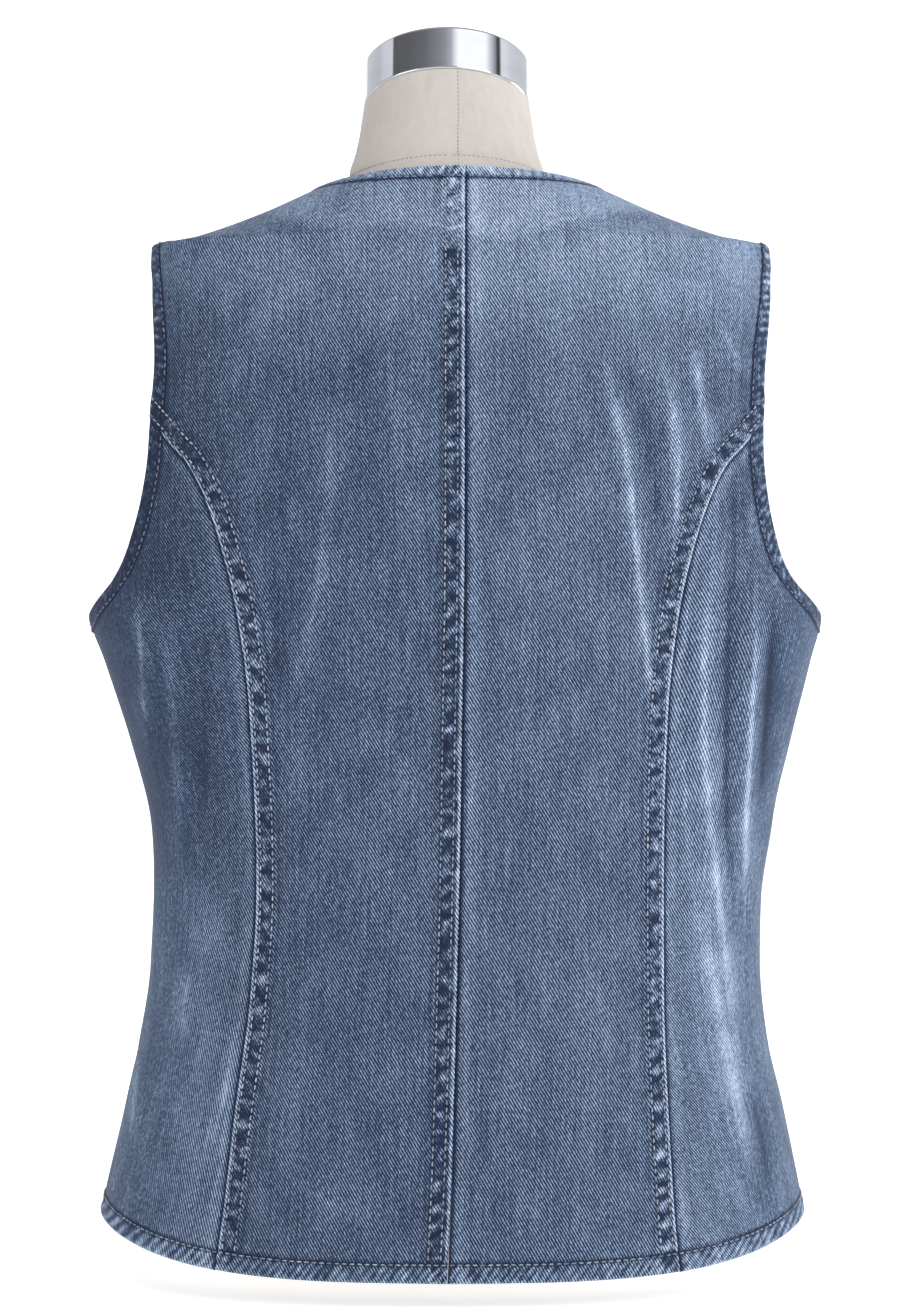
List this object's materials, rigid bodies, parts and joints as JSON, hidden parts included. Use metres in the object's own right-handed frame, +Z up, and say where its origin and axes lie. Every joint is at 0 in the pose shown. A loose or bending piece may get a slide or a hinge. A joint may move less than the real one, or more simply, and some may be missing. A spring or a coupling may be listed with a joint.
{
  "type": "denim vest on dress form",
  "caption": "Sleeveless washed-denim vest with princess seams and a button front, worn by a limbless table-top dress form with a metal neck cap.",
  "frame": {"origin": "centre of the underside of the dress form's stand, where it rests on the table", "axes": "+Z up. The back of the vest faces -Y and its buttoned front faces +Y. +X is the wearer's right."},
  "size_m": [0.3966, 0.2673, 0.6699],
  "materials": {
    "back_center_left": "washed twill, matte",
    "back_center_right": "washed twill, matte",
    "back_side_left": "washed twill, matte",
    "back_side_right": "washed twill, matte",
    "front_center_left": "washed twill, matte",
    "front_center_right": "washed twill, matte",
    "front_side_left": "washed twill, matte",
    "front_side_right": "washed twill, matte",
    "button_band": "washed twill, matte",
    "button": "satin",
    "form_cloth": "fine plain weave, matte",
    "neck_cap": "polished",
    "stand": "matte"
  },
  "bodies": {
    "root": {"back_center_left": "back_center_left", "back_center_right": "back_center_right", "back_side_left": "back_side_left", "back_side_right": "back_side_right", "front_center_left": "front_center_left", "front_center_right": "front_center_right", "front_side_left": "front_side_left", "front_side_right": "front_side_right", "button_band": "button_band", "button_1": "button", "button_2": "button", "button_3": "button", "button_4": "button", "button_5": "button", "dress_form": "form_cloth", "neck_cap": "neck_cap", "stand_base": "stand"}
  },
  "joints": []
}
